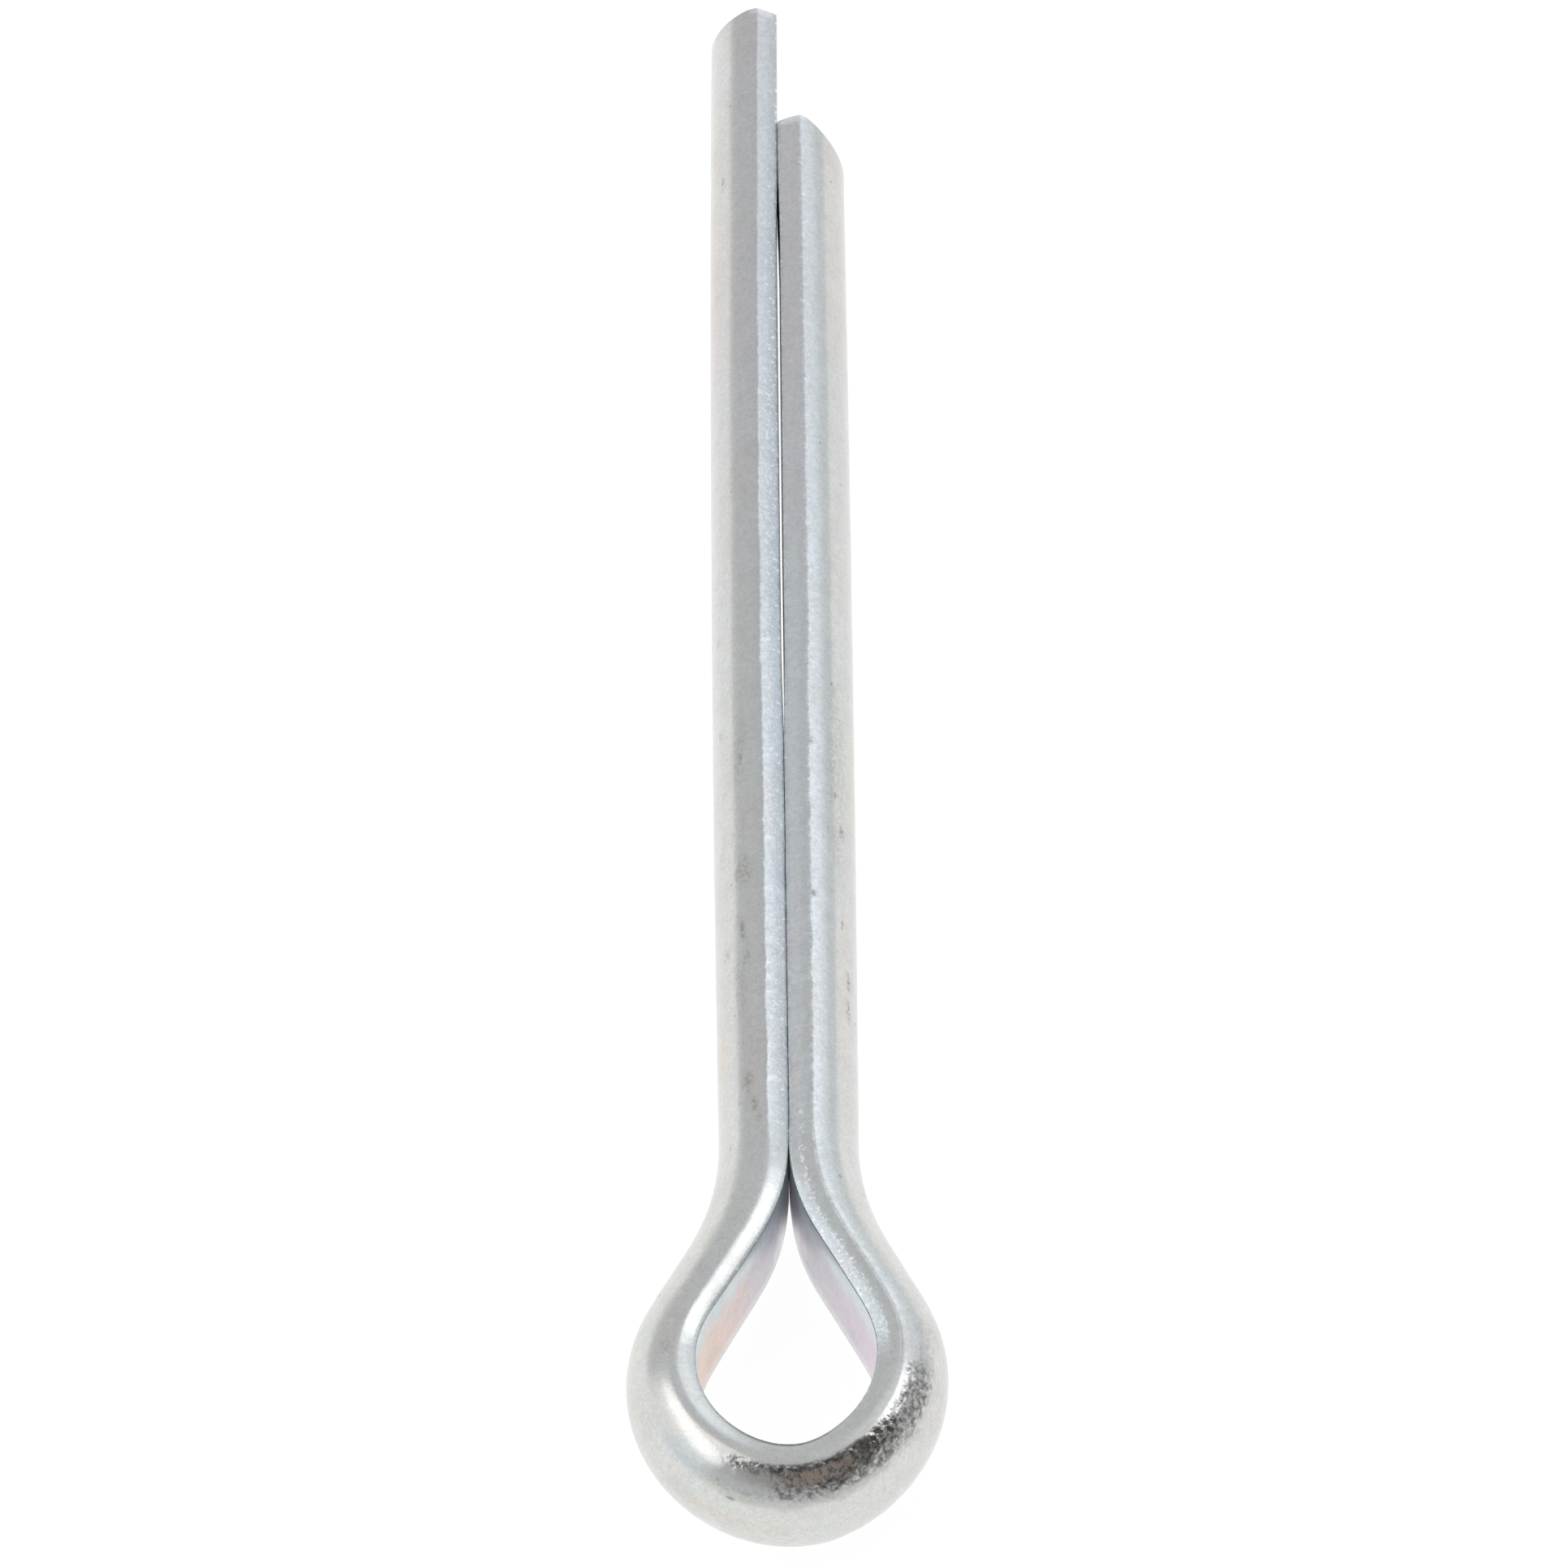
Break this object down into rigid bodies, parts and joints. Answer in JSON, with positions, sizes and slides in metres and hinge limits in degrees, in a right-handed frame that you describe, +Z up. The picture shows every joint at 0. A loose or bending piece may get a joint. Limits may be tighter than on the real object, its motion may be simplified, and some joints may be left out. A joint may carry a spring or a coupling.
{
  "type": "cotter pin",
  "caption": "Half-round wire folded flat side to flat side into a straight shank with an open teardrop eye and two square-cut legs of unequal length.",
  "frame": {"origin": "on the surface the pin lies on, under the middle of its whole length and between its two legs", "axes": "+Y along the legs towards their tips, +X towards the short leg, +Z up from the surface, square to the plane of the eye"},
  "size_m": [0.0102, 0.0604, 0.0042],
  "materials": {
    "zinc_plated_wire": "bright zinc plating, satin along the wire, faint pink and blue tints, a few dark pits and nicks"
  },
  "bodies": {
    "root": {"cotter_pin": "zinc_plated_wire"}
  },
  "joints": []
}
